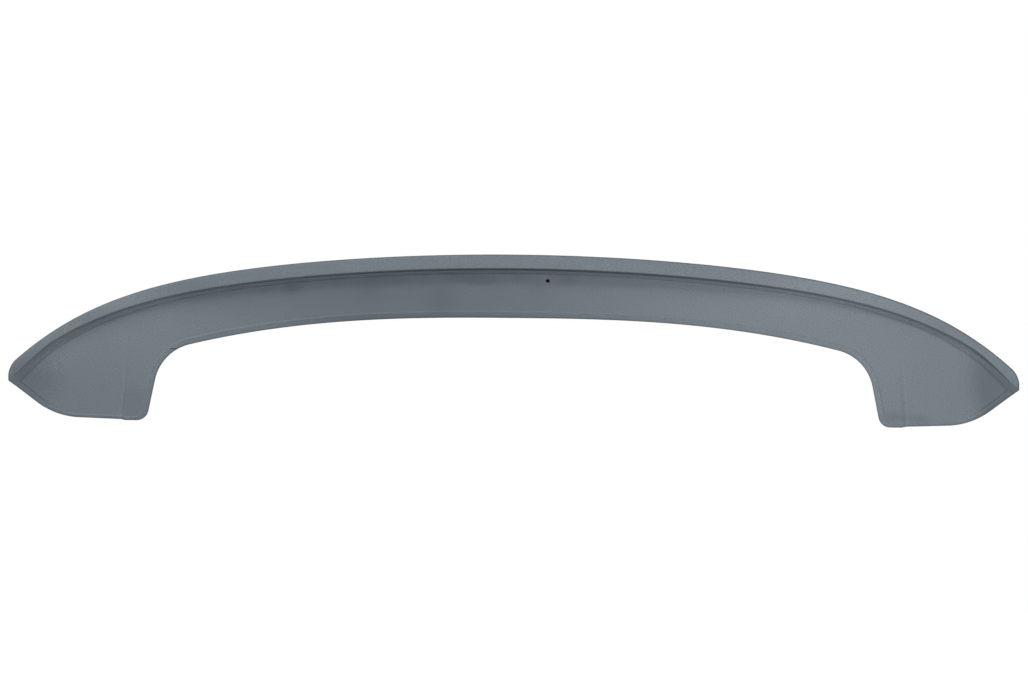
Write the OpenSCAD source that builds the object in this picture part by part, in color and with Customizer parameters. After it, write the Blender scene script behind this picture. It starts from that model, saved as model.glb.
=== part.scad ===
// Roof spoiler: one moulded bar with two feet, seen on its bonding side.
// X runs across the car, Z up through the crown, and the bonding side faces -Y.
// The origin is the middle of the flat bonding field, and all sizes are in millimetres.

/* [Overall] */
// Width over both tips
span = 1162; // [1002:10:1402]
// Height of the bar at the middle, from its lower edge to the crown
bar_h = 73; // [60:1:90]
// How far the feet reach below the lower edge of the bar
foot_drop = 122; // [100:1:150]

/* [Crown edge] */
// How far the crown edge falls from the middle to a tip
crown_fall = 134; // [115:1:150]
// Share of that fall that is a plain parabola
crown_flat = 0.49; // [0.4:0.01:0.6]
// Power of the rest of the fall, which bends the crown down at the ends
crown_power = 6.4; // [5:0.1:8]
// Distance from a tip at which the crown turns into the round shoulder
shoulder_run = 9; // [7:0.5:12]

/* [Lower edge and feet] */
// Width of each foot, from the corner of its toe to the tip
foot_w = 158; // [140:1:190]
// Distance from the toe's corner back to where the bar's lower edge ends and the arch corner starts
arch_run = 49; // [40:1:60]
// How far the lower edge falls from the middle to there
arch_fall = 34; // [25:1:42]
// Power of that fall
arch_power = 2.7; // [2.2:0.1:3.2]
// Lean of the inner edge of each foot from the vertical, in degrees
foot_lean = 11.5; // [8:0.5:14]
// Radius of the toe, the inner lower corner of a foot
toe_r = 14; // [10:1:18]
// Distance of the mould crease in each foot from the toe's corner
crease_in = 27; // [22:1:35]
// Step up of the sole at the crease
sole_step = 1.1; // [0:0.1:2]
// Rise of the sole from the crease towards the tip, in degrees
sole_rise = 2; // [0:0.5:4]
// Radius of the heel, where the sole turns up to the tip
heel_r = 85; // [60:5:100]
// Rise of the edge from the heel to the tip, in degrees
tip_rise = 37.5; // [34:0.5:40]
// Height of the tip above the toe
tip_lift = 42.5; // [38:0.5:46]

/* [Lip] */
// Width of the lip's face at the middle
lip_w = 15.5; // [12:0.5:20]
// Width of the lip's face near the tips
lip_tip_w = 9.5; // [7:0.5:12]
// How far the lip stands above the rim at the middle
lip_h = 12; // [8:0.5:16]
// The same near the tips
lip_tip_h = 7; // [5:0.5:9]
// Height of the lip where it ends in the corner of a tip
lip_end_h = 3; // [2:0.5:4.5]
// Run of the lip's inner wall at the middle, where it is steep
wall_run = 2.5; // [1.5:0.5:4]
// Run of the wall near the tips, where it is a cove
cove_run = 6; // [4:0.5:6.5]

/* [Rim and bonding field] */
// Distance of the field from the lip's inner edge at the middle
ledge_w = 7; // [7:0.5:9]
// The same near the tips
ledge_tip_w = 9; // [8:0.5:10]
// Width of the rim along the lower edge and round the feet
rim_w = 5.5; // [4.5:0.5:7]
// Width of the rim at the tip
rim_tip_w = 11; // [9:0.5:12]
// Angle at which the rim's corner in the tip lies above the tip's own corner, in degrees
rim_corner_a = 10; // [5:1:14]
// Depth of the field below the rim
field_sink = 1; // [0.5:0.1:1.5]
// Run of the small slope from the rim down to the field
sink_run = 0.9; // [0.5:0.1:1.2]
// Length of the tips' forward curl across the car
curl_run = 66; // [50:1:90]
// How far a tip has curled forwards at its end
curl_d = 14; // [8:1:20]

/* [Outer skin] */
// Height of the outer skin behind the crown edge at the middle
crest_t = 20; // [16:1:26]
// Thickness of the moulding along its lower edge and at its tips
edge_t = 7; // [6.5:0.5:9]
// Power of the sweep of the skin from the edge up to the crest
skin_power = 1.6; // [1.2:0.1:2.2]
// Rounding of the front edges
front_r = 2.5; // [1.5:0.5:3]
// Rounding of the outer edge behind the crown
crest_r = 8; // [5:0.5:9]
// Rounding of the other outer edges
back_r = 4; // [3:0.5:4.5]

/* [Hole and nick] */
// Diameter of the small blind hole
hole_d = 3.4; // [2:0.2:6]
// Depth of the hole from the field
hole_depth = 8; // [5:0.5:9]
// Distance of the hole from the middle
hole_x = 38; // [20:1:80]
// Distance of the hole below the crown edge
hole_down = 29.5; // [27:0.5:34]
// Place of the nick along the arch corner of one foot, from 0 at the bar to 1 at the foot
nick_at = 0.3; // [0.2:0.01:0.8]
// Length of the nick
nick_l = 8; // [6:1:12]
// Depth of the nick below the rim
nick_d = 1.5; // [0.8:0.1:2]

/* [Hidden] */
half = span / 2;
ledge_mid = lip_w + ledge_w;
field_h = bar_h - ledge_mid - rim_w;
crown_top = field_h / 2 + ledge_mid;
arch_top = -field_h / 2 - rim_w;
toe_z = arch_top - foot_drop;
tip = [half, toe_z + tip_lift];
toe_half = half - foot_w;
arch_half = toe_half - arch_run;
crease_x = toe_half + crease_in;
curl_x = half - curl_run;
rim_y = -field_sink;

// Number of steps along each stretch of the lower outline
arch_steps = 26;
corner_steps = 8;
inner_steps = 4;
toe_steps = 6;
crease_steps = 3;
crease_run = 6;
sole_steps = 4;
heel_steps = 9;
shoulder_steps = 4;
crown_end_steps = 3;
skin_steps = 8;
tip_steps = crown_end_steps + shoulder_steps - 1;
fan_steps = corner_steps + inner_steps + toe_steps;

function mix(a, b, f) = a + (b - a) * f;
function clamp01(f) = min(1, max(0, f));
function ease(f) = clamp01(f) * clamp01(f) * (3 - 2 * clamp01(f));
function heading(a) = [cos(a), sin(a)];
// The direction into the part, for an edge with the part on its right or left
function into_right(a) = [sin(a), -cos(a)];
function into_left(a) = [-sin(a), cos(a)];
function place(p, a) = [p.x, p.y, a];
// Where a line through p that heads along a meets a line through q that heads along b
function crossing(p, a, q, b) =
    let (w = q - p, u = heading(a), v = heading(b))
    p + u * ((w.x * v.y - w.y * v.x) / (u.x * v.y - u.y * v.x));
// A place on the round corner that turns from heading a to heading b, at the fraction f
function round_corner(c, a, b, r, f) =
    let (side = sign(b - a), back = r * tan(abs(b - a) / 2), now = mix(a, b, f))
    place(c - heading(a) * back + side * r * (into_left(a) - into_left(now)), now);

// The crown edge, from the middle out
function crown(x) =
    let (s = x / half, rest = 1 - crown_flat)
    place([x, crown_top - crown_fall * (crown_flat * pow(s, 2) + rest * pow(s, crown_power))],
          -atan(crown_fall / half * (2 * crown_flat * s + crown_power * rest * pow(s, crown_power - 1))));
shoulder = crown(half - shoulder_run);
shoulder_c = crossing([shoulder.x, shoulder.y], shoulder.z, tip, -90);
shoulder_r = norm(shoulder_c - [shoulder.x, shoulder.y]) / tan((90 + shoulder.z) / 2);

// The lower edge of the bar, from the middle out
function arch(x) =
    let (s = x / arch_half)
    place([x, arch_top - arch_fall * pow(s, arch_power)],
          -atan(arch_fall * arch_power / arch_half * pow(s, arch_power - 1)));

// Corners of the lower outline, each rounded on its own
inner_a = foot_lean - 90;
arch_end = arch(arch_half);
toe_c = [toe_half, toe_z];
arch_c = crossing([arch_end.x, arch_end.y], arch_end.z, toe_c, inner_a);
arch_r = norm(arch_c - [arch_end.x, arch_end.y]) / tan((arch_end.z - inner_a) / 2);
sole_start = place([crease_x + crease_run / 2, toe_z + sole_step], sole_rise);
heel_c = crossing([sole_start.x, sole_start.y], sole_rise, tip, tip_rise);
function arch_corner(f) = round_corner(arch_c, arch_end.z, inner_a, arch_r, f);
function toe_corner(f) = round_corner(toe_c, inner_a, 0, toe_r, f);
// The sole's small step up at the crease
function sole_stair(f) =
    place([sole_start.x - crease_run * (1 - f), toe_z + sole_step * ease(f)], sole_rise * f);
function heel_corner(f) = round_corner(heel_c, sole_rise, tip_rise, heel_r, f);
function between(p, q, f) = [mix(p.x, q.x, f), mix(p.y, q.y, f), q.z];
// The last place on the tip's lower edge lies clear of the corner of the rim
tip_clear = 3.5;
tip_end = place(tip - heading(tip_rise) * (rim_tip_w / tan(tip_rise + rim_corner_a) + tip_clear), tip_rise);

function steps(n) = [for (k = [1:n]) k / n];
lower = concat(
    [for (k = [0:arch_steps]) arch(arch_half * k / arch_steps)],
    [for (f = steps(corner_steps)) arch_corner(f)],
    [for (f = steps(inner_steps)) between(arch_corner(1), toe_corner(0), f)],
    [for (f = steps(toe_steps)) toe_corner(f)],
    [for (k = [0:crease_steps]) sole_stair(k / crease_steps)],
    [for (f = steps(sole_steps)) between(sole_start, heel_corner(0), f)],
    [for (f = steps(heel_steps)) heel_corner(f)],
    [for (f = steps(tip_steps)) between(heel_corner(1), tip_end, f)]);
// Each place on the crown lies above its own on the lower outline, and fans out over the toe
upper = concat(
    [for (k = [0:arch_steps]) crown(arch_half * k / arch_steps)],
    [for (f = steps(fan_steps)) crown(mix(arch_half, toe_corner(1).x, f))],
    [for (k = [0:crease_steps]) crown(sole_stair(k / crease_steps).x)],
    [for (f = steps(sole_steps)) crown(mix(sole_start.x, heel_corner(0).x, f))],
    [for (f = steps(heel_steps)) crown(heel_corner(f).x)],
    [for (f = steps(crown_end_steps)) crown(mix(heel_corner(1).x, shoulder.x, f))],
    [for (k = [1:shoulder_steps - 1])
        round_corner(shoulder_c, shoulder.z, -90, shoulder_r, k / shoulder_steps)]);
last = len(upper) - 1;
shoulder_i = last - shoulder_steps + 1;

// Sizes that change from the middle to the tips, at the share s of the half width
lip_w_power = 2.2;
wall_power = 2;
end_power = 3;
function lip_w_at(s) = mix(lip_w, lip_tip_w, pow(s, lip_w_power));
function wall_run_at(s) = mix(wall_run, cove_run, pow(s, wall_power));
function lip_h_at(s) = mix(lip_h, lip_tip_h, pow(s, end_power));
function ledge_w_at(s) = mix(ledge_w, ledge_tip_w, pow(s, end_power));
function crest_t_at(s) = mix(crest_t, edge_t, pow(s, end_power));
function crest_r_at(s) = mix(crest_r, back_r, pow(s, end_power));
function rim_w_at(x) = mix(rim_w, rim_tip_w, ease((x - heel_corner(0).x) / (half - heel_corner(0).x)));
function curl(x) = curl_d * pow(max(0, (x - curl_x) / curl_run), 2);

// A point of the surface at the distance d inside an edge, and at the depth y
function inside(p, into, d, y) = let (q = [p.x, p.y] + into * d) [q.x, y - curl(q.x), q.y];
// Points of a quarter round: the distance inside the edge and the depth behind its face
function quarter(r) = [[r, 0], [r * (1 - sin(45)), r * (1 - cos(45))], [0, r]];

// The wall's cove passes through this share of its run and of its height
cove_share = [0.4, 0.3];
// Rounding of the lip's inner edge
brow_r = front_r / 2;
// Profile across the crown edge, from the field out over the lip to the outer skin
function crown_profile(s) =
    let (w = lip_w_at(s), run = wall_run_at(s), ledge = ledge_w_at(s), face = rim_y - lip_h_at(s),
         top = crest_t_at(s), r = crest_r_at(s))
    concat(
        [[w + ledge + sink_run, 0], [w + ledge, rim_y], [w + run, rim_y]],
        [[w + run * cove_share.x, mix(rim_y, face, cove_share.y)], [w, face + brow_r], [w - brow_r, face]],
        [for (q = quarter(front_r)) [q.x, face + q.y]],
        [for (k = [2:-1:0]) [quarter(r)[k].x, top - quarter(r)[k].y]]);
// Profile across the other edges, from the field out to the outer skin
function edge_profile(w) = concat(
    [[w + sink_run, 0], [w, rim_y]],
    [for (q = quarter(front_r)) [q.x, rim_y + q.y]],
    [for (k = [2:-1:0]) [quarter(back_r)[k].x, edge_t - quarter(back_r)[k].y]]);

// The crown profile at one place, which runs straight into the corner of the tip past the shoulder
function over_crown(u) = [for (q = crown_profile(u.x / half)) inside(u, into_right(u.z), q.x, q.y)];
function over_shoulder(i) =
    let (own = over_crown(upper[i]), from = over_crown(shoulder), f = (i - shoulder_i) / shoulder_steps)
    [for (j = [0:len(own) - 1]) j < lip_points ? mix(from[j], tip_profile[closing[j]], f) : own[j]];
// One closed section: over the crown edge, down the outer skin and round the lower edge
function section(i) =
    let (u = upper[i], l = lower[i], s = u.x / half,
         over = i > shoulder_i ? over_shoulder(i) : over_crown(u),
         under = [for (q = edge_profile(rim_w_at(l.x))) inside(l, into_left(l.z), q.x, q.y)],
         a = over[len(over) - 1], b = under[len(under) - 1])
    concat(over,
        [for (k = [1:skin_steps - 1])
            let (f = k / skin_steps, x = mix(a.x, b.x, f))
            [x, mix(edge_t, crest_t_at(s), pow(1 - f, skin_power)) - curl(x), mix(a.z, b.z, f)]],
        [for (k = [len(under) - 1:-1:0]) under[k]]);
// The profile in the corner of the tip, where both edges meet
tip_into = into_left((tip_rise + 90) / 2);
tip_mitre = 1 / cos((90 - tip_rise) / 2);
tip_face = rim_y - lip_end_h;
rim_into = heading(180 - rim_corner_a);
rim_mitre = 1 / sin(tip_rise + rim_corner_a);
tip_profile = concat(
    [for (q = [[rim_tip_w + sink_run, 0], [rim_tip_w, rim_y]]) inside(tip, rim_into, q.x * rim_mitre, q.y)],
    [for (q = quarter(front_r)) inside(tip, tip_into, q.x * tip_mitre, tip_face + q.y)],
    [for (k = [2:-1:0])
        let (q = quarter(back_r)[k])
        inside(tip, tip_into, q.x * tip_mitre, edge_t - q.y)]);
// Which point of the tip's profile each point of the last section closes on
closing = concat(
    [0, 1, 2, 2, 2, 2, 2, 3, 4, 5, 6, 7],
    [for (k = [1:skin_steps - 1]) 7],
    [7, 6, 5, 4, 3, 2, 1, 0]);
ring = len(closing);
// How many points of the crown profile belong to the field, the wall and the lip's inner edge
lip_points = 6;

function mirrored(p) = [-p.x, p.y, p.z];
function tip_faces(first, tip_first, flip) = [
    for (j = [0:ring - 1])
        let (k = (j + 1) % ring, a = first + j, b = first + k,
             c = tip_first + closing[k], d = tip_first + closing[j],
             face = closing[j] == closing[k] ? [a, b, c] : [a, b, c, d])
        flip ? [for (n = [len(face) - 1:-1:0]) face[n]] : face];

module moulding() {
    half_sections = [for (i = [0:last]) section(i)];
    sections = concat(
        [for (i = [last:-1:1]) [for (p = half_sections[i]) mirrored(p)]],
        half_sections);
    tip_left = len(sections) * ring;
    tip_right = tip_left + len(tip_profile);
    points = concat(
        [for (s = sections) each s],
        [for (p = tip_profile) mirrored(p)],
        tip_profile);
    skin = [
        for (i = [0:len(sections) - 2])
            for (j = [0:ring - 1])
                let (k = (j + 1) % ring)
                [i * ring + j, i * ring + k, (i + 1) * ring + k, (i + 1) * ring + j]];
    polyhedron(points, concat(
        skin,
        tip_faces(0, tip_left, true),
        tip_faces((len(sections) - 1) * ring, tip_right, false)));
}

// How far a cut starts in front of the rim
cut_over = 1;
module hole() {
    z = crown(hole_x).y - hole_down;
    translate([hole_x, hole_depth, z]) rotate([90, 0, 0])
        cylinder(h = hole_depth + field_sink + cut_over, d = hole_d, $fn = 32);
}

module nick() {
    at = arch_corner(nick_at);
    translate([front_r - at.x - nick_l / 2, rim_y, at.y]) rotate([45, 0, 0])
        cube([nick_l + 2 * front_r, nick_d * sqrt(2), nick_d * sqrt(2)], center = true);
}

module spoiler() {
    color("slategray") difference() {
        moulding();
        hole();
        nick();
    }
}

spoiler();
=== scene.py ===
# %% [markdown]
# # A roof spoiler in grey primer
# A roof spoiler is one moulding that is glued along the top of a car's tailgate. Here it is seen on the side
# that gets the glue: a flat field with a thin rim round it, a lip along the crown, and a foot at each end.
# The imported model gives the true size and place of the moulding. This script dresses it: it builds the same
# form again with finer rounds, adds the small marks of the mould, and paints it with primer, into whose colour
# light and shade are painted in places.

# %% Load the imported model
import math

import bmesh
import bpy
from mathutils import Matrix, Vector


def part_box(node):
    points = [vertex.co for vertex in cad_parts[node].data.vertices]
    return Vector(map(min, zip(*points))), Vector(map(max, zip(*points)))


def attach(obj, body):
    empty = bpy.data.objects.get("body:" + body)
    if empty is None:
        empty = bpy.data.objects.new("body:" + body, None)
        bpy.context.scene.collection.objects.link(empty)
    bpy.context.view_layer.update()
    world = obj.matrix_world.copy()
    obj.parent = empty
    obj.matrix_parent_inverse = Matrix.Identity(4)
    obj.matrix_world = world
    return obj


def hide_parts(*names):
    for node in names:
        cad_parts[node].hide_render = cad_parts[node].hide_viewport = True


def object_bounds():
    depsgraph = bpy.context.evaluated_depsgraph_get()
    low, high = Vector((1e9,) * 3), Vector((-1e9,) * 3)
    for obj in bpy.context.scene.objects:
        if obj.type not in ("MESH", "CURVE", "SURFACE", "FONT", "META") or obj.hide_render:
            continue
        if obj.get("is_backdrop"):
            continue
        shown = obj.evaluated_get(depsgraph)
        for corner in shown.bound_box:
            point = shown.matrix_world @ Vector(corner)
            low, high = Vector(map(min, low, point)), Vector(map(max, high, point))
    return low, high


MM = 0.001
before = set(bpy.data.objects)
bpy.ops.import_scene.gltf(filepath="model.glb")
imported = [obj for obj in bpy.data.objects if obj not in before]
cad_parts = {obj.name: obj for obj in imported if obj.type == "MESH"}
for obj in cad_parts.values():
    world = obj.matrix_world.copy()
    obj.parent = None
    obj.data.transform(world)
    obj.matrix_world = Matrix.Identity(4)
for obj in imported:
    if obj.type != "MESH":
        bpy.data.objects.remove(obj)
cad_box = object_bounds()
low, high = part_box("spoiler")
print("The moulding is", [round((high[i] - low[i]) / MM, 1) for i in range(3)], "mm over all")

# %% [markdown]
# ## The camera
# The photograph looks straight at the bonding side, from so far away that the lines hardly converge. A long
# lens far back does that. The part lies a little askew in the picture, so the camera is rolled and the part
# isn't.

# %% Set the camera
VIEW_W = 1182 * MM
VIEW_X = -0.2 * MM
VIEW_Y = -13 * MM
VIEW_Z = -55.6 * MM
ROLL = math.radians(0.56)
LENS_MM = 200
SENSOR_MM = 36
FAR_CLIP = 100

scene = bpy.context.scene
lens = bpy.data.cameras.new("long_lens")
lens.lens = LENS_MM
lens.sensor_width = SENSOR_MM
lens.clip_end = FAR_CLIP
camera = bpy.data.objects.new("camera", lens)
scene.collection.objects.link(camera)
distance = VIEW_W * LENS_MM / SENSOR_MM
camera.matrix_world = (Matrix.Translation((VIEW_X, VIEW_Y - distance, VIEW_Z))
                       @ Matrix.Rotation(math.radians(90), 4, "X") @ Matrix.Rotation(ROLL, 4, "Z"))
scene.camera = camera
print("The camera stands", round(distance, 2), "m away")

# %% [markdown]
# ## The outline
# A moulding like this is drawn as a few clean lines: a crown that bends down more and more towards its ends,
# an arch below, and a foot with one round for each corner. Each line here is a formula, so a point anywhere
# on it comes with the direction in which the line runs, and that direction says where "inwards" is.

# %% Sizes of the outline
half = high.x
crown_top = high.z
toe_z = low.z
crown_fall = 134 * MM
crown_flat = 0.49
crown_power = 6.4
shoulder_run = 9 * MM
bar_h = 73 * MM
arch_fall = 34 * MM
arch_power = 2.7
toe_half = half - 158 * MM
arch_half = toe_half - 49 * MM
foot_lean = math.radians(11.5)
toe_r = 14 * MM
crease_x = toe_half + 27 * MM
crease_run = 6 * MM
sole_step = 1.1 * MM
sole_rise = math.radians(2)
heel_r = 85 * MM
tip_rise = math.radians(37.5)
arch_top = crown_top - bar_h
tip = Vector((half, toe_z + 44.5 * MM))
DOWN = -math.pi / 2


# %% Small helpers for lines and corners
def mix(a, b, f):
    return a + (b - a) * f


def ease(f):
    f = min(1, max(0, f))
    return f * f * (3 - 2 * f)


def heading(a):
    return Vector((math.cos(a), math.sin(a)))


def into_right(a):
    """The direction into the part from an edge that has the part on its right."""
    return Vector((math.sin(a), -math.cos(a)))


def into_left(a):
    return -into_right(a)


def crossing(p, a, q, b):
    """Where a line through p along a meets a line through q along b."""
    u, v, w = heading(a), heading(b), q - p
    return p + u * (w.cross(v) / u.cross(v))


def corner_back(turn, radius):
    """How far before its corner a round of that radius starts."""
    return radius * math.tan(abs(turn) / 2)


def round_corner(corner, a, b, radius, f):
    """The place at the fraction f of a round that turns from heading a to heading b."""
    side = math.copysign(1, b - a)
    now = mix(a, b, f)
    start = corner - heading(a) * corner_back(b - a, radius)
    return start + side * radius * (into_left(a) - into_left(now)), now


# %% The crown and the arch
def crown(x):
    s = abs(x) / half
    rest = 1 - crown_flat
    drop = crown_flat * s ** 2 + rest * s ** crown_power
    slope = 2 * crown_flat * s + crown_power * rest * s ** (crown_power - 1)
    return Vector((x, crown_top - crown_fall * drop)), -math.atan(crown_fall / half * slope)


def arch(x):
    s = x / arch_half
    slope = arch_fall * arch_power / arch_half * s ** (arch_power - 1)
    return Vector((x, arch_top - arch_fall * s ** arch_power)), -math.atan(slope)


inner_a = foot_lean + DOWN
arch_end, arch_end_a = arch(arch_half)
toe = Vector((toe_half, toe_z))
arch_c = crossing(arch_end, arch_end_a, toe, inner_a)
arch_r = (arch_c - arch_end).length / math.tan((arch_end_a - inner_a) / 2)
sole_start = Vector((crease_x + crease_run / 2, toe_z + sole_step))
heel_c = crossing(sole_start, sole_rise, tip, tip_rise)
shoulder, shoulder_a = crown(half - shoulder_run)
shoulder_c = crossing(shoulder, shoulder_a, tip, DOWN)
shoulder_r = (shoulder_c - shoulder).length / math.tan((shoulder_a - DOWN) / 2)
print("Arch corner radius", round(arch_r / MM), "mm, shoulder radius", round(shoulder_r / MM), "mm")


# %% The rounds of a foot
def arch_corner(f):
    return round_corner(arch_c, arch_end_a, inner_a, arch_r, f)


def toe_corner(f):
    return round_corner(toe, inner_a, 0, toe_r, f)


def sole_stair(f):
    """The small step up that the mould's crease leaves in the sole."""
    return sole_start + Vector((-crease_run * (1 - f), sole_step * (ease(f) - 1))), sole_rise * f


def heel_corner(f):
    return round_corner(heel_c, sole_rise, tip_rise, heel_r, f)


def shoulder_corner(f):
    return round_corner(shoulder_c, shoulder_a, DOWN, shoulder_r, f)


# %% [markdown]
# ## Stations
# The moulding is built from sections, like the frames of a boat. Each section starts on the crown and ends on
# the lower edge, so every station is a pair of places. They stand close together where an edge turns fast.

# %% Pair the places on the crown and on the lower edge
# The number of stations on each stretch of the lower edge, and the last two on the end of the crown
ARCH, CORNER, INNER, TOE = 96, 28, 14, 21
FLAT, STAIR, SOLE, HEEL = 12, 12, 20, 27
TIP, SHOULDER = 12, 12
SOLE_DENSER = 1.8
# From a tip's point to the corner that the field's border makes there
border_corner = Vector((-10.8, -0.9)) * MM
rim_tip_w = border_corner.dot(into_left(tip_rise))
tip_clear = 1.5 * MM
tip_back = -border_corner.dot(heading(tip_rise)) + tip_clear
tip_end = (tip - heading(tip_rise) * tip_back, tip_rise)


def steps(n):
    return [k / n for k in range(1, n + 1)]


def along(p, q, f):
    """A place on the straight line from p to q, which are places with their headings."""
    return p[0].lerp(q[0], f), mix(p[1], q[1], f)


lower = [arch(arch_half * k / ARCH) for k in range(ARCH + 1)]
lower += [arch_corner(f) for f in steps(CORNER)]
lower += [along(arch_corner(1), toe_corner(0), f) for f in steps(INNER)]
lower += [toe_corner(f) for f in steps(TOE)]
lower += [along(toe_corner(1), sole_stair(0), f) for f in steps(FLAT)]
lower += [sole_stair(f) for f in steps(STAIR)]
lower += [along(sole_stair(1), heel_corner(0), f ** SOLE_DENSER) for f in steps(SOLE)]
lower += [heel_corner(f) for f in steps(HEEL)]
lower += [along(heel_corner(1), tip_end, f) for f in steps(TIP + SHOULDER - 1)]

# The sections of the inner side stand steeper than it leans, so none of them crosses the rim
above_inner = toe_half - 2 * MM
fanned = CORNER + INNER + TOE
straight = len(lower) - (ARCH + 1) - fanned - (TIP + SHOULDER - 1)
upper = [crown(place[0].x) for place in lower[:ARCH + 1]]
upper += [crown(mix(arch_half, above_inner, f)) for f in steps(CORNER)]
upper += [crown(mix(above_inner, toe_corner(1)[0].x, f)) for f in steps(INNER + TOE)]
upper += [crown(place[0].x) for place in lower[len(upper):len(upper) + straight]]
upper += [crown(mix(heel_corner(1)[0].x, shoulder.x, f)) for f in steps(TIP)]
upper += [shoulder_corner(k / SHOULDER) for k in range(1, SHOULDER)]
print(len(upper), "stations on each half")

# %% [markdown]
# ## The profile
# A section runs from the field up a small step onto the rim, up the wall of the lip, over its face, round the
# outer edge and back down the outer skin. The lip gets lower and its wall softer towards the tips, where the
# moulding also curls forwards. So each size of the profile is a blend of two, the middle's and the tip's.

# %% Sizes of the profile
rim_y = -1 * MM
rim_fall = 1 * MM
rim_slope = 0.25
step_run = 1.1 * MM
groove_w = 1.2 * MM
groove_d = 0.3 * MM
rim_w = 6.7 * MM
sole_rim_w = 3.2 * MM
sole_rim_run = 14 * MM
lip_mid_w = 16.3 * MM
lip_tip_w = 6.8 * MM
lip_mid_h = 12 * MM
lip_tip_h = 5.5 * MM
lip_end_h = 3 * MM
wall_mid_run = 3.1 * MM
wall_tip_run = 5.5 * MM
ledge_mid_w = 3.4 * MM
ledge_tip_w = 11 * MM
crest_mid_r = 8 * MM
front_r = 2.5 * MM
brow_r = 1.3 * MM
edge_t = 7 * MM
back_r = 4 * MM
skin_power = 1.6
skin_ease = 0.05
curl_run = 66 * MM
curl_d = 13.6 * MM
cove_reach = 0.15
# Powers of the blends: the higher one is, the nearer to the tip the change comes
LIP_POWER, WALL_POWER, LEDGE_POWER, CREST_POWER = 5, 6, 9, 3


def lip_w(s):
    return mix(lip_mid_w, lip_tip_w, s ** LIP_POWER)


def wall_run(s):
    return mix(wall_mid_run, wall_tip_run, s ** WALL_POWER)


def lip_h(s):
    return mix(lip_mid_h, lip_tip_h, ease(s))


def ledge_w(s):
    return mix(ledge_mid_w, ledge_tip_w, s ** LEDGE_POWER)


def crest_t(s):
    return mix(high.y, edge_t, s ** CREST_POWER)


def crest_r(s):
    return mix(crest_mid_r, back_r, s ** CREST_POWER)


def rim_width(x):
    """Wide along the bar and the inner sides of the feet, narrow on the soles and wide at the tips."""
    heel_x = heel_corner(0)[0].x
    near_tip = ease((x - heel_x) / (half - heel_x))
    on_sole = ease((x - toe_half) / sole_rim_run)
    return mix(mix(rim_w, sole_rim_w, on_sole), rim_tip_w, near_tip)


def curl(x):
    return curl_d * max(0, (abs(x) - (half - curl_run)) / curl_run) ** 2


# %% The curved stretches of a profile, as pairs of distance inside the edge and depth
# The number of steps on each of them
GROOVE, STEP, WALL, BROW, ROUND, BACK = 4, 4, 7, 5, 6, 8


def shares(n):
    return [k / n for k in range(n + 1)]


def bell(t):
    """A smooth hump of height 1 that ends at t = -1 and 1."""
    return (1 - t * t) ** 2 if abs(t) < 1 else 0


def step_curve(w, groove, rise=1):
    """The field's border: a groove and then a step up onto the rim, each with a share of its full size."""
    foot = w + step_run
    sunk = [(foot + groove_w * (1 - f), groove * groove_d * bell(2 * f - 1)) for f in shares(GROOVE)]
    return sunk + [(w + step_run * (1 - f), rise * rim_y * ease(f)) for f in shares(STEP)[1:]]


def quarter(r, n):
    """A quarter round, from the face to the side."""
    angles = [f * math.pi / 2 for f in shares(n)]
    return [(r * (1 - math.sin(a)), r * (1 - math.cos(a))) for a in angles]


def front_curve(face):
    return [(d, face + y) for d, y in quarter(front_r, ROUND)]


def back_curve(r, depth):
    return [(d, depth - y) for d, y in reversed(quarter(r, BACK))]


def bend_through(p, q, r, f):
    """A place on the smooth curve that leaves p towards q and ends at r."""
    return [mix(mix(a, b, f), mix(b, c, f), f) for a, b, c in zip(p, q, r)]


def wall_curve(w, run, face):
    """A cove that rises from the rim and turns over a small round onto the lip's face."""
    foot, bend, top = (w + run, rim_y), (w + cove_reach * run, rim_y), (w, face + brow_r)
    cove = [bend_through(foot, bend, top, f) for f in shares(WALL)]
    brow = [(w - d, face + y) for d, y in reversed(quarter(brow_r, BROW))]
    return cove + brow[1:]


# %% [markdown]
# ## Sections
# The stretches between the curves are straight or nearly so: the rim, the lip's face, the outer side, the
# skin and the field. Each section is one closed ring of points. At a tip the last ring folds flat, so that
# the surface closes in one clean edge, as the real moulding does where its crown and its lower edge meet.

# %% Helpers for one section
# The number of steps on each straight stretch
LEDGE, FACE, SIDE, SKIN, FIELD = 4, 4, 3, 20, 36


def inside(place, into, pair):
    """The point of the surface at a distance inside a place on the edge, curled forwards near the tips."""
    d, y = pair
    at = place + into * d
    return Vector((at.x, y - curl(at.x), at.y))


def between(p, q, n):
    return [p.lerp(q, k / n) for k in range(1, n)]


def ring(over, under, skin):
    """Joins the curves over the crown edge and round the lower edge into one closed section."""
    step, wall, front, back = over
    low_step, low_front, low_back = under
    field = between(low_step[0], step[0], FIELD)
    for p in field:
        p.y = -curl(p.x)
    return (step + between(step[-1], wall[0], LEDGE) + wall + between(wall[-1], front[0], FACE) + front
            + between(front[-1], back[0], SIDE) + back + skin
            + low_back[::-1] + between(low_back[0], low_front[-1], SIDE) + low_front[::-1]
            + between(low_front[0], low_step[-1], LEDGE) + low_step[::-1] + field)


# %% The part of a section over the crown, under the lower edge and along the outer skin
slant_run = 16 * MM
inner_fade = 16 * MM
inner_rise = 0.5


def over_crown(place):
    p, a = place
    s = p.x / half
    w = lip_w(s)
    face = rim_y - lip_h(s)
    curves = (step_curve(w + ledge_w(s), 1), wall_curve(w, wall_run(s), face),
              front_curve(face), back_curve(crest_r(s), crest_t(s)))
    return [[inside(p, into_right(a), pair) for pair in curve] for curve in curves]


def low_groove(x):
    """The lower border is a groove only on the slanting edge between the heel and the tip."""
    heel_x = heel_corner(0.5)[0].x
    return ease((x - heel_x) / slant_run)


def inner_side(x):
    """1 on the inner side of a foot, 0 along the bar and on the sole."""
    return ease((x - arch_half) / inner_fade) * (1 - ease((x - toe_half) / inner_fade))


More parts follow.
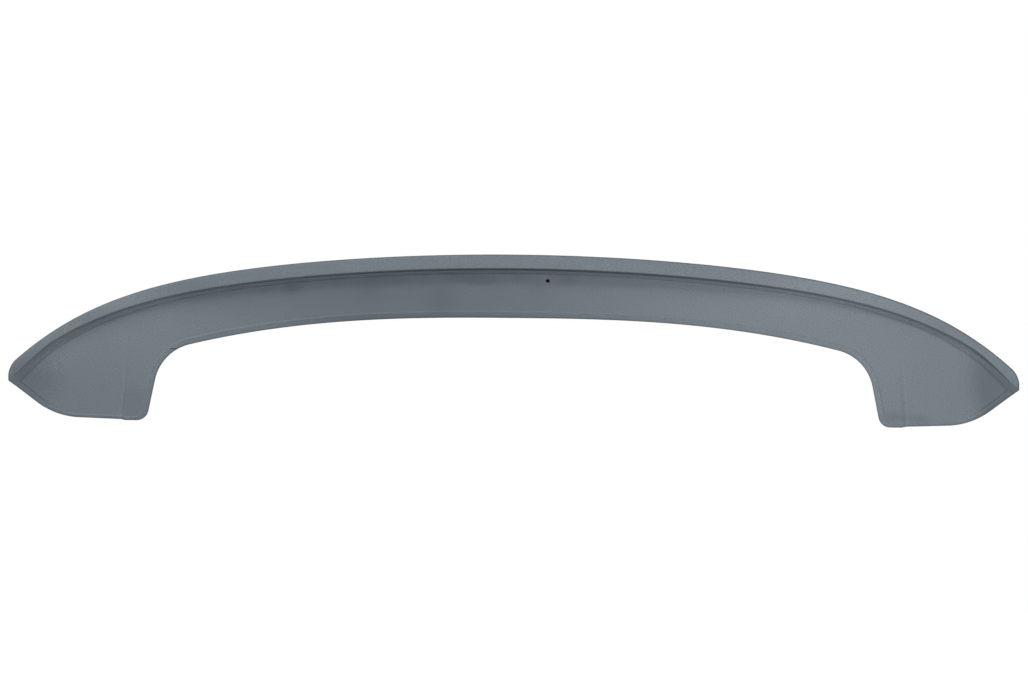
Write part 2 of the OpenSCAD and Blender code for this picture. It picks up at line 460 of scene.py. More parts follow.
def under_edge(place):
    """On the inner side of a foot the border's step is low, and the rim itself rises a little."""
    p, a = place
    w = rim_width(p.x)
    fall = min(rim_fall, rim_slope * (w - front_r))
    rise = mix(1, inner_rise, inner_side(p.x))
    curves = step_curve(w, low_groove(p.x), rise), front_curve(rim_y + fall), back_curve(back_r, edge_t)
    return [[inside(p, into_left(a), pair) for pair in curve] for curve in curves]


def skin_between(a, b, s):
    """The outer skin, which sweeps from the crest down to the thin lower edge."""
    points = []
    for p, k in zip(between(a, b, SKIN), range(1, SKIN)):
        f = k / SKIN
        f = f * f / (f + skin_ease) * (1 + skin_ease)
        p.y = mix(edge_t, crest_t(s), (1 - f) ** skin_power) - curl(p.x)
        points.append(p)
    return points


# %% The folded section at a tip
rim_into = border_corner.normalized()
rim_mitre = border_corner.length / rim_tip_w
tip_into = into_left((tip_rise - DOWN) / 2)
tip_mitre = 1 / math.cos((-DOWN - tip_rise) / 2)


def mitred(curve, into, mitre):
    return [inside(tip, into, (d * mitre, y)) for d, y in curve]


tip_step = mitred(step_curve(rim_tip_w, 1), rim_into, rim_mitre)
tip_front = mitred(front_curve(rim_y - lip_end_h), tip_into, tip_mitre)
tip_back_curve = mitred(back_curve(back_r, edge_t), tip_into, tip_mitre)
tip_over = [tip_step, [tip_front[0]] * (WALL + BROW + 1), tip_front, tip_back_curve]
tip_ring = ring(tip_over, [tip_step, tip_front, tip_back_curve], [tip_back_curve[-1]] * (SKIN - 1))
print("A section has", len(tip_ring), "points")

# %% The way into the tip
bend_run = 45 * MM
bend_lead = 0.35
bend_i = min(i for i, place in enumerate(upper) if place[0].x > half - bend_run)
outer = [place[0] for place in upper[bend_i:]] + [tip]
run_so_far = [0]
for p, q in zip(outer, outer[1:]):
    run_so_far.append(run_so_far[-1] + (q - p).length)
bend_start = over_crown(upper[bend_i])
print("The lip runs into the tip over", len(outer), "stations")


def uncurled(p):
    return p + Vector((0, curl(p.x), 0))


def bent(p, q, a, f):
    """A place on a smooth line that leaves p along the heading a and ends at q."""
    p, q = uncurled(p), uncurled(q)
    along_edge = heading(a)
    lead = p + Vector((along_edge.x, 0, along_edge.y)) * (q - p).length * bend_lead
    on = p.lerp(lead, f).lerp(lead.lerp(q, f), f)
    return on - Vector((0, curl(on.x), 0))


# %% Put all the sections together
def section(i):
    over = over_crown(upper[i])
    if i > bend_i:
        # Near the tip the border and the wall leave the crown and run smoothly into their corners
        f = run_so_far[i - bend_i] / run_so_far[-1]
        for k in (0, 1):
            over[k] = [bent(p, q, upper[bend_i][1], f) for p, q in zip(bend_start[k], tip_over[k])]
    under = under_edge(lower[i])
    skin = skin_between(over[-1][-1], under[-1][-1], upper[i][0].x / half)
    return ring(over, under, skin)


rings = [section(i) for i in range(len(upper))] + [tip_ring]
print(len(rings), "sections on each half, the last one folded")

# %% [markdown]
# ## Marks on the rows
# Shade is painted into the primer's colour on the rounded outer edges, in the border's groove, in the corner
# under the lip and on the ledge below it, and a highlight is painted along the step of the lower border.
# All these follow the rows of the grid, so each vertex keeps its marks as attributes.

# %% Helpers for marks
def nothing(n):
    return [0] * n


def row_marks(step, wall, front, side):
    """One mark for each point of a ring, in the ring's own order."""
    return (step + nothing(LEDGE - 1) + wall + nothing(FACE - 1) + front + side
            + nothing(2 * (BACK + 1) + SKIN - 1)
            + side[::-1] + front[::-1] + nothing(LEDGE - 1) + step[::-1] + nothing(FIELD - 1))


# %% Say which rows get painted shade in a groove, on a wall or on an edge, and which a painted highlight
# The strength of each mark, and the shares of a stretch over which it comes or goes
GROOVE_SHADE = 0.4
WALL_FOOT_SHADE = 0.4
WALL_FOOT_RUN = 0.3
BROW_SHADE = 0.8
EDGE_START = 0.1
EDGE_RUN = 0.5
no_step = nothing(GROOVE + STEP + 1)
no_wall = nothing(WALL + BROW + 1)
no_front = nothing(ROUND + 1)
no_side = nothing(SIDE - 1)
# Painted shade in the border's groove
groove_shade_steps = [GROOVE_SHADE * bell(2 * f - 1) for f in shares(GROOVE)] + nothing(STEP)
# Painted shade in the corner under the lip, over the wall and fading over its brow
wall_shade_marks = [max(WALL_FOOT_SHADE, ease(f / WALL_FOOT_RUN)) for f in shares(WALL)]
wall_shade_marks += [BROW_SHADE * (1 - f) for f in steps(BROW)]
# Painted shade on the round and the side of the outer edge
front_edge_shade = [ease((f - EDGE_START) / EDGE_RUN) for f in shares(ROUND)]
side_edge_shade = [1 - k / SIDE for k in range(1, SIDE)]
# A highlight painted on the step of the lower border
step_highlight = shares(GROOVE) + [bell(2 * f) for f in shares(STEP)[1:]]

groove_shade_rows = row_marks(groove_shade_steps, no_wall, no_front, no_side)
wall_shade_rows = row_marks(no_step, wall_shade_marks, no_front, no_side)
edge_shade_rows = row_marks(no_step, no_wall, front_edge_shade, side_edge_shade)
step_highlight_rows = nothing(len(tip_ring) - len(step_highlight) - FIELD + 1) + step_highlight[::-1] + nothing(FIELD - 1)
lip_start = GROOVE + STEP + LEDGE + WALL
lip_rows = range(lip_start, lip_start + BROW + FACE + ROUND + SIDE)
crown_rows = lip_start + BROW + FACE + ROUND + 1
ledge_rows = range(GROOVE + 1, GROOVE + STEP + LEDGE)
field_rows = range(len(tip_ring) - FIELD + 1, len(tip_ring))
lip_shadow_rows = set(range(GROOVE + STEP + LEDGE)) | set(field_rows)
for name, marks in (("groove", groove_shade_rows), ("wall", wall_shade_rows), ("edge", edge_shade_rows), ("step_highlight", step_highlight_rows)):
    print("The", name, "marks lie on", sum(mark > 0 for mark in marks), "rows")

# %% [markdown]
# ## Painted shadow under the lip
# The lip's shadow is painted into the primer's colour below its wall. How far a point lies below the wall says
# how dark its painted shadow is, and how dark the corner is painted there depends on the place along the bar.

# %% The painted shadow under the lip and the wall's painted shade
LIP_SHADOW_RUN = 24 * MM
LIP_SHADOW_POWER = 3
# What is left of the wall's painted shade at this share of the way to the tip, and at the tip itself
WALL_OPEN = 0.55
WALL_OPEN_AT = 0.85
WALL_END = 0.4
WALL_END_FROM = 0.8


def lip_shadow(co):
    """The lip's painted shadow: 1 under its wall, fading fast at first and slowly to 0 across the field."""
    s = min(1, abs(co.x) / half)
    edge, angle = crown(co.x)
    depth = (edge.y - co.z) * math.cos(angle) - lip_w(s) - wall_run(s)
    return min(1, max(0, 1 - depth / LIP_SHADOW_RUN)) ** LIP_SHADOW_POWER


def wall_shade(x):
    """The shade painted in the corner under the lip is darkest in the middle and weaker towards the tips."""
    s = x / half
    ending = ease((s - WALL_END_FROM) / (1 - WALL_END_FROM))
    return mix(1, WALL_OPEN, ease(s / WALL_OPEN_AT)) * mix(1, WALL_END, ending)


print("The wall's darkness at the tip:", round(wall_shade(half), 2))

# %% [markdown]
# ## Wrap a grid round the sections
# One way to skin the sections is to bridge them ring by ring. A plain grid is quicker: its columns are the
# stations and its rows go round the section, and each vertex is moved to its place. Merging the doubles
# closes the seam and the fold at the tip.

# %% Make one half
MERGE = 0.01 * MM
SLIVER = MERGE / 10
# The lip's shadow, painted on the ledge below it
LEDGE_SHADOW = 0.46
# How the marks of the lower edge differ from the crown's: stronger painted shade in the groove and weaker on
# the edge
LOW_GROOVE_SHADE = 1.6
LOW_EDGE_SHADE = 0.35
bm = bmesh.new()
columns, rows = len(rings) - 1, len(tip_ring)
bmesh.ops.create_grid(bm, x_segments=columns, y_segments=rows, size=1)
edge_shade_mark = bm.verts.layers.float.new("edge")
shade_mark = bm.verts.layers.float.new("groove")
lip_shadow_mark = bm.verts.layers.float.new("lip_shadow")
lip_mark = bm.verts.layers.float.new("lip")
step_highlight_mark = bm.verts.layers.float.new("step_highlight")
for v in bm.verts:
    column = round((v.co.x + 1) / 2 * columns)
    row = round((v.co.y + 1) / 2 * rows) % rows
    v.co = rings[column][row]
    # Painted shade on the outer edges, weaker on the lower edge
    v[edge_shade_mark] = edge_shade_rows[row] * (1 if row < crown_rows else LOW_EDGE_SHADE)
    v[lip_mark] = 1 if row in lip_rows else 0
    # A highlight painted on the lower step, but not along the slanting edge
    v[step_highlight_mark] = step_highlight_rows[row] * (1 - low_groove(v.co.x))
    # Painted shade in the border's groove; on the lower edge only along the slanting edge
    v[shade_mark] = groove_shade_rows[row] * (1 if row < crown_rows else LOW_GROOVE_SHADE * low_groove(v.co.x))
    # Painted shade on the wall under the lip and painted shadow on the ledge, weaker towards the tips
    v[shade_mark] += (wall_shade_rows[row] + (LEDGE_SHADOW if row in ledge_rows else 0)) * wall_shade(v.co.x)
    # The lip's shadow, painted on the ledge and the field
    v[lip_shadow_mark] = lip_shadow(v.co) if row in lip_shadow_rows else 0
bmesh.ops.remove_doubles(bm, verts=bm.verts, dist=MERGE)
bmesh.ops.dissolve_degenerate(bm, edges=bm.edges, dist=SLIVER)
print("Half:", len(bm.verts), "vertices,", len(bm.faces), "faces")

# %% [markdown]
# ## The other half and the mould's crease
# A mirror makes the other half. The mould left a crease in each foot: a shallow groove with a low ridge
# beside it in the one foot, and with a shallow dip beside it in the other. It leans a little, and it fades
# upwards. The stations stand half a millimetre apart there, so the vertices can carry it as real relief.

# %% Mirror the half and raise the crease
# Only points of the bonding side lie less deep than this
FRONT_DEPTH = 1 * MM
crease_top = toe_z + 92 * MM
# So many millimetres sideways for so many upwards
crease_lean = 7 / 84
ridge_h = 0.6 * MM
ridge_w = 3 * MM
dip_d = 0.5 * MM
valley_d = 0.15 * MM
valley_w = 1.8 * MM
valley_shade = 0.12


def crease_offset(x, z):
    """How far a point lies outside the line of the crease."""
    return abs(x) - (crease_x - crease_lean * (z - toe_z))


def crease_fade(z):
    """1 at the toe, fading to 0 at the top of the crease."""
    return ease((crease_top - z) / (crease_top - toe_z))


def ridge_bell(x, z):
    """1 along the middle of the ridge or the dip, 0 beside it."""
    return bell((crease_offset(x, z) - ridge_w) / ridge_w)


half_geometry = bm.verts[:] + bm.edges[:] + bm.faces[:]
bmesh.ops.mirror(bm, geom=half_geometry, matrix=Matrix.Identity(4), merge_dist=MERGE, axis="X")
for v in bm.verts:
    if v.co.y < FRONT_DEPTH and v.co.z < crease_top:
        fade = crease_fade(v.co.z)
        valley = bell(crease_offset(v.co.x, v.co.z) / valley_w)
        height = ridge_h if v.co.x < 0 else -dip_d
        v.co.y -= fade * (height * ridge_bell(v.co.x, v.co.z) - valley_d * valley)
        # Shade painted into the crease's groove
        v[shade_mark] = max(v[shade_mark], fade * valley_shade * valley)
bmesh.ops.recalc_face_normals(bm, faces=bm.faces)
print("Whole:", len(bm.faces), "faces, open edges:", sum(not e.is_manifold for e in bm.edges))

mesh = bpy.data.meshes.new("spoiler_moulding")
bm.to_mesh(mesh)
bm.free()
moulding = bpy.data.objects.new("spoiler_moulding", mesh)
scene.collection.objects.link(moulding)

# %% [markdown]
# ## The hole and the nick
# Beside the middle is a small blind hole with a sloping mouth, and the rim at one arch corner has a nick.
# They cut through the surface wherever they happen to lie, so a Boolean is the right tool: it needs no edges
# prepared for it.

# %% Cut them
hole_d = 3.4 * MM
hole_depth = 8 * MM
mouth_d = 4.3 * MM
hole_x = 38 * MM
hole_below_crown = 29.5 * MM
hole_z = crown(hole_x)[0].y - hole_below_crown
nick_l = 9 * MM
nick_w = 1.1 * MM
nick_d = 2.2 * MM
# How far along the arch corner's round the nick lies
nick_share = 0.235
nick_at = arch_corner(nick_share)[0]
CUT_OVER = 1 * MM
DRILL_SIDES = 32


def cut(target, name, bm):
    """Cuts a closed bmesh out of the target and applies the cut."""
    tool_mesh = bpy.data.meshes.new(name)
    bm.to_mesh(tool_mesh)
    bm.free()
    tool = bpy.data.objects.new(name, tool_mesh)
    scene.collection.objects.link(tool)
    boolean = target.modifiers.new(name, "BOOLEAN")
    boolean.operation = "DIFFERENCE"
    boolean.solver = "EXACT"
    boolean.object = tool
    bpy.context.view_layer.update()
    result = bpy.data.meshes.new_from_object(target.evaluated_get(bpy.context.evaluated_depsgraph_get()))
    target.modifiers.clear()
    target.data = result
    bpy.data.objects.remove(tool)
    print(name, "cut:", len(result.polygons), "faces")


def drill(deep, r_deep, shallow, r_shallow):
    """A round cutter in the hole's axis, from one depth and radius to another."""
    bit = bmesh.new()
    middle = Vector((hole_x, (deep + shallow) / 2, hole_z))
    place = Matrix.Translation(middle) @ Matrix.Rotation(math.radians(90), 4, "X")
    bmesh.ops.create_cone(bit, cap_ends=True, segments=DRILL_SIDES, radius1=r_deep, radius2=r_shallow,
                          depth=deep - shallow, matrix=place)
    return bit


hole_r, mouth_r = hole_d / 2, mouth_d / 2
cut(moulding, "hole_cutter", drill(hole_depth, hole_r, -CUT_OVER, hole_r))
# The drill broke the primer at the hole's mouth, which is a small slope of 45 degrees
cut(moulding, "mouth_cutter", drill(mouth_r - hole_r, hole_r, -CUT_OVER, mouth_r + CUT_OVER))

# The nick's cutter is a bar on its edge, stretched to a narrow V
blade = bmesh.new()
bmesh.ops.create_cube(blade, size=1)
bmesh.ops.rotate(blade, verts=blade.verts, matrix=Matrix.Rotation(math.radians(45), 3, "X"))
stretch = (nick_l + 2 * front_r, nick_d * math.sqrt(2), nick_w / math.sqrt(2))
bmesh.ops.scale(blade, verts=blade.verts, vec=stretch)
bmesh.ops.translate(blade, verts=blade.verts, vec=(front_r - nick_at.x - nick_l / 2, rim_y, nick_at.y))
cut(moulding, "nick_cutter", blade)

# %% Shade it smooth, with a crisp edge only at the hole and the nick
SHARP_FROM = math.radians(40)
moulding.data.shade_smooth()
moulding.data.set_sharp_from_angle(angle=SHARP_FROM)

# %% [markdown]
# ## Painted light and shade, and clouds in the primer
# The primer was sprayed by hand in a few passes, so it has some broad paler and darker places. Light and shade
# are painted in with them: a brighter right side, darker tips, and soft shadow blotches below the lip. A noise
# would put them anywhere. A few soft ellipses, each with a place, a size and a strength, put them where they
# are.

# %% The patches of painted light and shade, and of paler or darker primer
LIGHT_AND_PRIMER_PATCHES = {
    # name: x and z of the middle, half width and half height in mm, softness of its rim, strength
    "dark_middle": (-110, -14, 340, 46, 0.9, -0.5),
    "pale_right_bar": (375, -40, 275, 135, 1.0, 0.35),
    "pale_left_bar": (-440, -50, 120, 80, 1.0, 0.4),
    "pale_right_lip": (395, 6, 215, 45, 1.0, 0.6),
    "pale_left_lip": (-455, -12, 95, 26, 1.0, 0.65),
    "pale_left_end": (-540, -55, 80, 50, 1.0, 0.5),
    "dark_right_tip": (588, -88, 80, 105, 0.45, -0.8),
    "dark_low_middle": (-30, -32, 280, 10, 0.6, -0.35),
    "dark_left_tip": (-548, -108, 42, 38, 0.9, -0.4),
    "dark_left_toe": (-436, -130, 26, 34, 0.8, -0.22),
    "dark_right_toe": (438, -138, 24, 12, 0.9, -0.35),
    "dark_right_sole": (465, -141, 22, 8, 0.9, -0.35),
    "blotch_far_left": (-288, 2, 12, 10, 1.0, -0.2),
    "blotch_left": (-257, 3, 18, 12, 1.0, -0.3),
    "band_left": (-168, 4, 26, 28, 1.0, -0.14),
    "blotch_before_middle": (-137, 15, 32, 10, 1.0, -0.25),
    "band_before_middle": (-86, -10, 30, 32, 1.0, -0.17),
    "blotch_middle": (-42, 17, 42, 11, 0.8, -0.35),
    "blotch_small": (2, 18, 13, 9, 1.0, -0.2),
    "band_after_middle": (29, 3, 28, 28, 1.0, -0.12),
    "blotch_right": (61, 15, 17, 10, 1.0, -0.3),
}
# Where the lip's painted shadow is strongest along the bar, and how far to each side it lasts
LIP_SHADOW_AT = -110 * MM
LIP_SHADOW_REACH = 330 * MM
# How far a normal turns to the back before the patches fade, and over how much more they do
FRONT_SOFT = 0.3
# How much paler a painted highlight makes the crease's ridge and the step of the lower border
RIDGE_HIGHLIGHT = 0.22
STEP_HIGHLIGHT = 0.2


def light_and_primer_strength(co):
    total = 0
    for x, z, wide, tall, soft, strength in LIGHT_AND_PRIMER_PATCHES.values():
        t = math.hypot((co.x / MM - x) / wide, (co.z / MM - z) / tall)
        total += strength * ease((1 - t) / soft)
    return max(-1, min(1, total))


def lip_shadow_spread(x):
    """The lip's painted shadow is strongest left of the middle and gone towards both ends."""
    return 1 - ease(abs(x - LIP_SHADOW_AT) / LIP_SHADOW_REACH)


def ridge_highlight(co):
    """A highlight is painted on the crease's ridge in the one foot, and none on the dip in the other."""
    return RIDGE_HIGHLIGHT * crease_fade(co.z) * ridge_bell(co.x, co.z) if co.x <= 0 else 0


def front(v):
    """1 on the side that the photograph shows, 0 on the outer skin."""
    return 1 - ease((v.normal.y - FRONT_SOFT) / FRONT_SOFT)


# %% Store them as attributes
attributes = moulding.data.attributes
# The lip's painted shadow fades towards both ends
for v, kept in zip(moulding.data.vertices, attributes["lip_shadow"].data):
    kept.value *= lip_shadow_spread(v.co.x)

strengths = [front(v) * (light_and_primer_strength(v.co) + ridge_highlight(v.co)) for v in moulding.data.vertices]
strengths = [s + STEP_HIGHLIGHT * kept.value for s, kept in zip(strengths, attributes["step_highlight"].data)]
# No dark patch is painted on the lip's face
lip_values = [kept.value for kept in attributes["lip"].data]
# pale holds painted highlights and paler primer, dark holds painted shade and darker primer
pale = [max(0, s) for s in strengths]
dark = [max(0, -s) * (1 - lip) for s, lip in zip(strengths, lip_values)]
for name, values in (("pale", pale), ("dark", dark)):
    attributes.new(name, "FLOAT", "POINT").data.foreach_set("value", values)
print(len(LIGHT_AND_PRIMER_PATCHES), "clouds, from", round(min(strengths), 2), "to", round(max(strengths), 2))

# %% [markdown]
# ## The primer
# Sprayed primer is matt, but it isn't one flat colour. It has a fine grain from the dry spray, soft clouds
# where the coats overlap, and a slight orange peel. All of them are noises on Object coordinates at their
# real sizes. The grain is a node group of its own, because the bare plastic in the hole uses it too.

# %% Colours, and the sizes and strengths of the noises
# PRIMER_LIGHT and PRIMER_DARK also carry painted highlights and painted shade
PRIMER = (0.148, 0.180, 0.202, 1)
PRIMER_DARK = (0.070, 0.090, 0.105, 1)
PRIMER_PALE = (0.166, 0.199, 0.222, 1)
PRIMER_LIGHT = (0.205, 0.243, 0.268, 1)
BARE_AND_SHADE = (0.010, 0.011, 0.012, 1)
BARE_DEEP = (0.004, 0.004, 0.005, 1)
SPECKLE_SIZE = 1.2 * MM
SPECKLE_RELIEF = 0.5
PEEL_SIZE = 5 * MM
CLOUD_SIZE = 70 * MM
PATCH_SIZE = 28 * MM
PATCH_ROUGH = 0.6
# The range of a noise that counts, and what it becomes if that isn't 0 to 1
CLOUD_RANGE = (0.35, 0.68)
PATCH_RANGE = (0.3, 0.7, 0.4)
SPOT_RANGE = (0.3, 0.7, 0.0, 0.45)
# How far a full mark darkens the primer towards the bare plastic's colour, as painted shade
SHADE_MARKS = {"groove": 0.7, "edge": 0.5}
# Strength and height of the relief, lowest and highest roughness, and how shiny the surface is
PRIMER_SKIN = ((0.35, 0.06 * MM), (0.58, 0.7), 0.35)
BARE_SKIN = ((0.3, 0.05 * MM), (0.5, 0.7), 0.2)


# %% Helpers for nodes
def link(tree, source, target):
    tree.links.new(source, target)


def math_node(tree, operation, a, b):
    node = tree.nodes.new("ShaderNodeMath")
    node.operation = operation
    for socket, value in zip(node.inputs, (a, b)):
        if isinstance(value, (int, float)):
            socket.default_value = value
        else:
            link(tree, value, socket)
    return node.outputs[0]


def noise_node(tree, coordinates, size, detail=2.0, roughness=0.5):
    """A noise whose features are about size metres wide."""
    node = tree.nodes.new("ShaderNodeTexNoise")
    node.inputs["Scale"].default_value = 1 / size
    node.inputs["Detail"].default_value = detail
    node.inputs["Roughness"].default_value = roughness
    link(tree, coordinates, node.inputs["Vector"])
    return node.outputs["Fac"]


def attribute(tree, name):
    node = tree.nodes.new("ShaderNodeAttribute")
    node.attribute_name = name
    return node.outputs["Fac"]


def colour_mix(tree, factor, a, b):
    node = tree.nodes.new("ShaderNodeMix")
    node.data_type = "RGBA"
    link(tree, factor, node.inputs["Factor"])
    for name, value in (("A", a), ("B", b)):
        socket = [s for s in node.inputs if s.name == name and s.type == "RGBA"][0]
        if isinstance(value, tuple):
            socket.default_value = value
        else:
            link(tree, value, socket)
    return [s for s in node.outputs if s.type == "RGBA"][0]


def range_node(tree, value, low_in, high_in, low_out=0.0, high_out=1.0):
    node = tree.nodes.new("ShaderNodeMapRange")
    node.interpolation_type = "SMOOTHSTEP"
    link(tree, value, node.inputs["Value"])
    limits = {"From Min": low_in, "From Max": high_in, "To Min": low_out, "To Max": high_out}
    for name, limit in limits.items():
        node.inputs[name].default_value = limit
    return node.outputs["Result"]


def shader_mix(tree, factor, a, b):
    node = tree.nodes.new("ShaderNodeMixShader")
    for i, source in enumerate((factor, a, b)):
        link(tree, source, node.inputs[i])
    return node.outputs[0]


def seen_directly(tree):
    """1 for rays from the camera, by way of glass or gloss too, and 0 for the rays that light the object."""
    path = tree.nodes.new("ShaderNodeLightPath")
    seen = math_node(tree, "MAXIMUM", path.outputs["Is Camera Ray"], path.outputs["Is Glossy Ray"])
    return math_node(tree, "MAXIMUM", seen, path.outputs["Is Transmission Ray"])


# %% The grain group
def grain_group():
    """Speckle and orange peel of a sprayed or moulded skin, from a vector in metres."""
    group = bpy.data.node_groups.new("sprayed_grain", "ShaderNodeTree")
    group.interface.new_socket("Vector", in_out="INPUT", socket_type="NodeSocketVector")
    group.interface.new_socket("Speckle", in_out="OUTPUT", socket_type="NodeSocketFloat")
    group.interface.new_socket("Height", in_out="OUTPUT", socket_type="NodeSocketFloat")
    start = group.nodes.new("NodeGroupInput")
    end = group.nodes.new("NodeGroupOutput")
    fine = noise_node(group, start.outputs["Vector"], SPECKLE_SIZE, 1)
    peel = noise_node(group, start.outputs["Vector"], PEEL_SIZE, 1)
    low_speckle = math_node(group, "MULTIPLY", fine, SPECKLE_RELIEF)
    link(group, fine, end.inputs["Speckle"])
    link(group, math_node(group, "ADD", low_speckle, peel), end.inputs["Height"])
    return group


grain = grain_group()
print("Grain group outputs:", [s.name for s in grain.nodes["Group Output"].inputs if s.name])


# %% Helpers for materials
def add_grain(tree, coordinates, strength, height):
    """Places the grain group and returns its speckle and a normal with its relief."""
    node = tree.nodes.new("ShaderNodeGroup")
    node.node_tree = grain
    link(tree, coordinates, node.inputs["Vector"])
    bump = tree.nodes.new("ShaderNodeBump")
    bump.inputs["Strength"].default_value = strength
    bump.inputs["Distance"].default_value = height
    link(tree, node.outputs["Height"], bump.inputs["Height"])
    return node.outputs["Speckle"], bump.outputs["Normal"]


def new_material(name):
    material = bpy.data.materials.new(name)
    material.use_nodes = True
    tree = material.node_tree
    coordinates = tree.nodes.new("ShaderNodeTexCoord").outputs["Object"]
    return material, tree, tree.nodes["Principled BSDF"], coordinates


# %% The primer and the bare plastic
def primer():
    material, tree, shader, coordinates = new_material("grey_primer")
    relief, roughness, specular = PRIMER_SKIN
    speckle, normal = add_grain(tree, coordinates, *relief)
    clouds = range_node(tree, noise_node(tree, coordinates, CLOUD_SIZE, 3), *CLOUD_RANGE)
    patches = range_node(tree, noise_node(tree, coordinates, PATCH_SIZE, 3, PATCH_ROUGH), *PATCH_RANGE)
    # The lip's painted shadow, made blotchy by a noise
    painted_lip_shadow = math_node(tree, "MULTIPLY", attribute(tree, "lip_shadow"), patches)
    base = colour_mix(tree, clouds, PRIMER, PRIMER_PALE)
    # Painted light and paler primer
    base = colour_mix(tree, attribute(tree, "pale"), base, PRIMER_LIGHT)
    # Painted shade and darker primer
    base = colour_mix(tree, attribute(tree, "dark"), base, PRIMER_DARK)
    base = colour_mix(tree, painted_lip_shadow, base, PRIMER_DARK)
    base = colour_mix(tree, range_node(tree, speckle, *SPOT_RANGE), base, PRIMER_DARK)
    # Painted shade in the grooves, under the lip and on the edges, towards the dark plastic's colour
    for mark, most in SHADE_MARKS.items():
        base = colour_mix(tree, math_node(tree, "MULTIPLY", attribute(tree, mark), most), base, BARE_AND_SHADE)
    link(tree, base, shader.inputs["Base Color"])
    link(tree, range_node(tree, clouds, 0, 1, *roughness), shader.inputs["Roughness"])
    link(tree, normal, shader.inputs["Normal"])
    shader.inputs["Specular IOR Level"].default_value = specular
    return material


def bare_plastic():
    material, tree, shader, coordinates = new_material("bare_plastic")
    relief, roughness, specular = BARE_SKIN
    speckle, normal = add_grain(tree, coordinates, *relief)
    link(tree, colour_mix(tree, speckle, BARE_DEEP, BARE_AND_SHADE), shader.inputs["Base Color"])
    link(tree, range_node(tree, speckle, 0, 1, *roughness), shader.inputs["Roughness"])
    link(tree, normal, shader.inputs["Normal"])
    shader.inputs["Specular IOR Level"].default_value = specular
    return material


moulding.data.materials.clear()
for material in (primer(), bare_plastic()):
    moulding.data.materials.append(material)
    print("Material:", material.name)

# %% Give the bore and the nick their bare plastic
NORMAL_SLACK = 0.01


def in_bore(face):
    off_axis = math.hypot(face.center.x - hole_x, face.center.z - hole_z)
    return off_axis < mouth_r and MERGE < face.center.y < hole_depth + MERGE


def in_nick(face):
    """The nick's two walls are the only faces there with just this slope."""
    near = abs(face.center.x + nick_at.x) < 2 * nick_l and abs(face.center.z - nick_at.y) < nick_w
    slope = nick_d / math.hypot(nick_d, nick_w / 2)
    return near and abs(face.normal.x) < 2 * NORMAL_SLACK and abs(abs(face.normal.z) - slope) < NORMAL_SLACK


bare = [face for face in moulding.data.polygons if in_bore(face) or in_nick(face)]
for face in moulding.data.polygons:
    face.material_index = 0
for face in bare:
    face.material_index = 1
print(len(bare), "faces of bare plastic in the hole and the nick")

# %% [markdown]
# ## Hand the piece to the frame
# The moulding rides on the part's only body, and it stands for the CAD node of the same form.

# %% Ride and replace
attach(moulding, "root")
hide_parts("spoiler")

# %% [markdown]
# ## Floor, light and background
# The part is made to be fixed, so it hangs above the floor as on a stand that can't be seen. The floor and
# the world look white to the camera, and the light stays at a plain level, so that the primer keeps its
# colour. The key lamp stands high in front and gives the shadow under the lip. Two weak lamps fill from the
# front, and a broad one behind lights the outer skin.

# %% The floor
FLOOR_DROP = 350 * MM
FLOOR_SIZE = 6
FLOOR_GREY = (0.7, 0.7, 0.7, 1)
FLOOR_ROUGH = 0.9
FLOOR_GLOW = 0.65
WHITE = (1, 1, 1, 1)
floor_mesh = bpy.data.meshes.new("floor")
bm = bmesh.new()
bmesh.ops.create_grid(bm, x_segments=1, y_segments=1, size=FLOOR_SIZE / 2,
                      matrix=Matrix.Translation((0, 0, low.z - FLOOR_DROP)))
bm.to_mesh(floor_mesh)
bm.free()
floor = bpy.data.objects.new("floor", floor_mesh)
scene.collection.objects.link(floor)
floor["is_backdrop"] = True


def pale_floor():
    """A matt floor that looks white to the camera, takes the object's shadow and isn't seen from below."""
    material, tree, shader, coordinates = new_material("pale_floor")
    shader.inputs["Base Color"].default_value = FLOOR_GREY
    shader.inputs["Roughness"].default_value = FLOOR_ROUGH
    shader.inputs["Emission Color"].default_value = WHITE
    glow = math_node(tree, "MULTIPLY", seen_directly(tree), FLOOR_GLOW)
    link(tree, glow, shader.inputs["Emission Strength"])
    from_below = tree.nodes.new("ShaderNodeNewGeometry").outputs["Backfacing"]
    clear = tree.nodes.new("ShaderNodeBsdfTransparent").outputs[0]
    surface = shader_mix(tree, from_below, shader.outputs[0], clear)
    link(tree, surface, tree.nodes["Material Output"].inputs["Surface"])
    return material


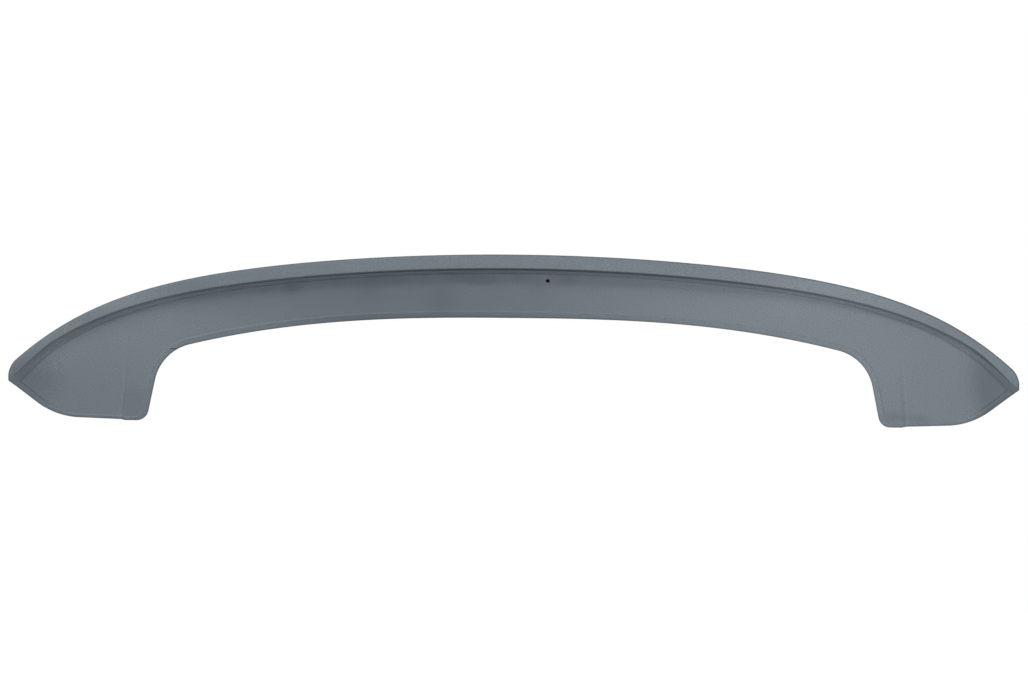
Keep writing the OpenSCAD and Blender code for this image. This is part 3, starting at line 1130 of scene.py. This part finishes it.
floor_mesh.materials.append(pale_floor())
print("The floor lies", FLOOR_DROP / MM, "mm below the feet")

# %% The world
WORLD_LIGHT = 0.22
world = bpy.data.worlds.new("studio")
world.use_nodes = True
scene.world = world
world.node_tree.nodes.clear()


def background(tree, strength):
    node = tree.nodes.new("ShaderNodeBackground")
    node.inputs["Color"].default_value = WHITE
    node.inputs["Strength"].default_value = strength
    return node.outputs[0]


def studio(tree):
    """White to the camera, and a weak even light on the object."""
    shade, white = background(tree, WORLD_LIGHT), background(tree, 1)
    surface = shader_mix(tree, seen_directly(tree), shade, white)
    link(tree, surface, tree.nodes.new("ShaderNodeOutputWorld").inputs["Surface"])


studio(world.node_tree)
print("The world's light:", WORLD_LIGHT)

# %% The lamps
LAMPS = {
    # name: place, aim, length and width in metres, watts
    "key": ((-0.9, -1.1, 2.0), (0, 0, -0.03), (1.6, 0.4), 46),
    "front": ((-0.3, -2.2, -0.1), (0, 0, -0.05), (2.2, 0.5), 8),
    "fill": ((0.42, -0.8, -0.1), (0.4, 0, -0.05), (0.4, 0.4), 2),
    "back": ((0.5, 2.4, 1.2), (0, 0, -0.05), (1.8, 1.2), 42),
}


def area_light(name, at, aim, size, watts):
    lamp = bpy.data.lights.new(name, "AREA")
    lamp.shape = "RECTANGLE"
    lamp.size, lamp.size_y = size
    lamp.energy = watts
    obj = bpy.data.objects.new(name, lamp)
    obj.location = at
    obj.rotation_euler = (Vector(aim) - Vector(at)).to_track_quat("-Z", "Y").to_euler()
    obj.visible_camera = False
    scene.collection.objects.link(obj)


for name, (at, aim, size, watts) in LAMPS.items():
    area_light(name, at, aim, size, watts)
print(len(LAMPS), "lamps with", sum(lamp[-1] for lamp in LAMPS.values()), "watts")

# %% Render settings that belong to the look
scene.view_settings.view_transform = "Standard"

# %% Measure and finish
visual_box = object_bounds()
sizes = {"cad": [list(corner) for corner in cad_box], "visual": [list(corner) for corner in visual_box]}
for name, (lowest, highest) in sizes.items():
    print(name, "box from", [round(x / MM, 2) for x in lowest], "to", [round(x / MM, 2) for x in highest], "mm")
